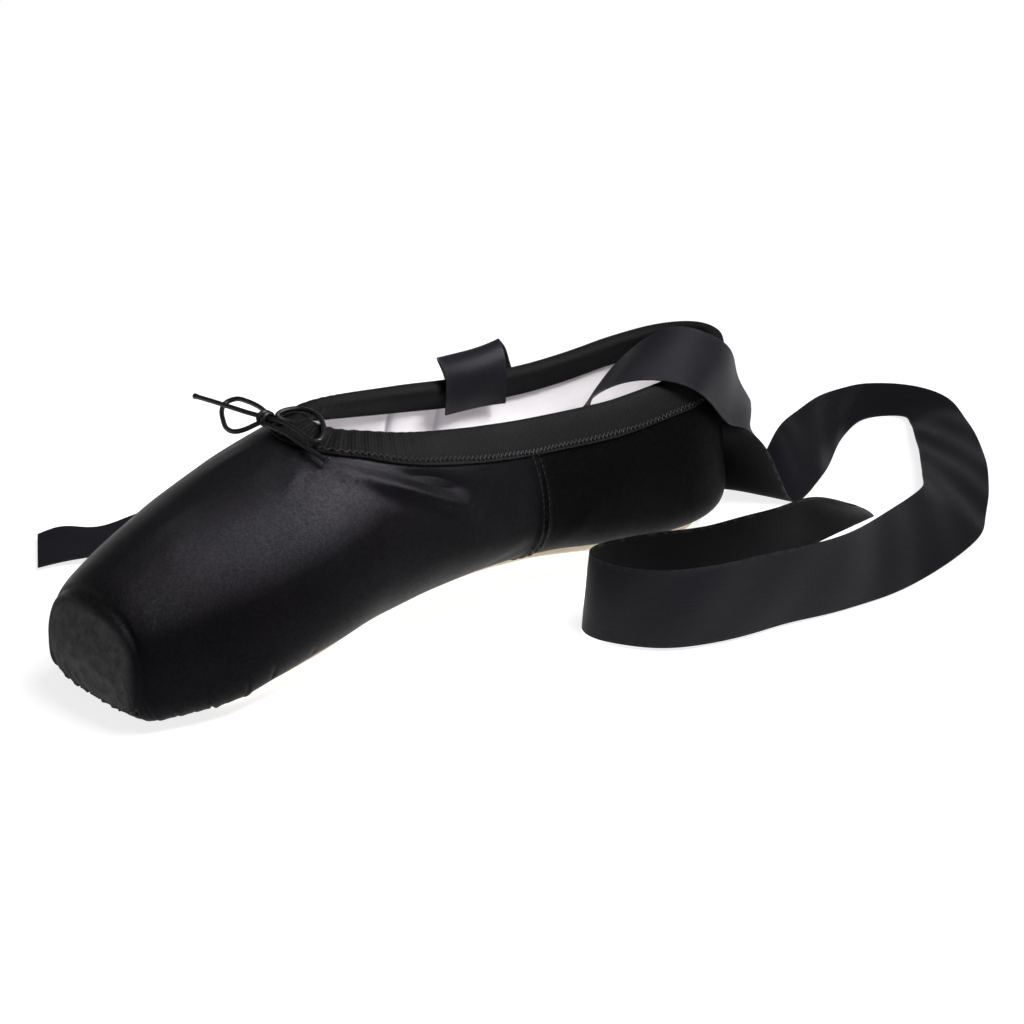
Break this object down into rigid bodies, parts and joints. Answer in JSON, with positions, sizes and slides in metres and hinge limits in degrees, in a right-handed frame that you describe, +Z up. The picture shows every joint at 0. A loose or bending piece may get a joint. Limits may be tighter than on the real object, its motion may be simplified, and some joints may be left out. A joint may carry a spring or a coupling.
{
  "type": "pointe shoe",
  "caption": "Black satin pointe shoe with a flat toe platform, bound collar with a drawstring bow, waisted leather sole and loose ribbon ties.",
  "frame": {"origin": "on the floor, under the middle of the shoe's own box without its ribbons and drawstring", "axes": "+Y from toe to heel along the middle line, +Z up, +X towards the side that the picture shows in front"},
  "size_m": [0.2031, 0.3657, 0.0712],
  "materials": {
    "satin": "satin weave with a soft sheen",
    "binding_tape": "ribbed grosgrain",
    "sole_leather": "pale suede",
    "lining": "plain cotton weave",
    "ribbon": "satin ribbon",
    "drawstring": "twisted cotton"
  },
  "bodies": {
    "root": {"upper": "satin", "binding": "binding_tape", "outsole": "sole_leather", "insole": "lining", "ribbon_near": "ribbon", "ribbon_far": "ribbon", "drawstring_knot": "drawstring", "drawstring_loop_near": "drawstring", "drawstring_loop_far": "drawstring", "drawstring_end_near": "drawstring", "drawstring_end_far": "drawstring"}
  },
  "joints": []
}
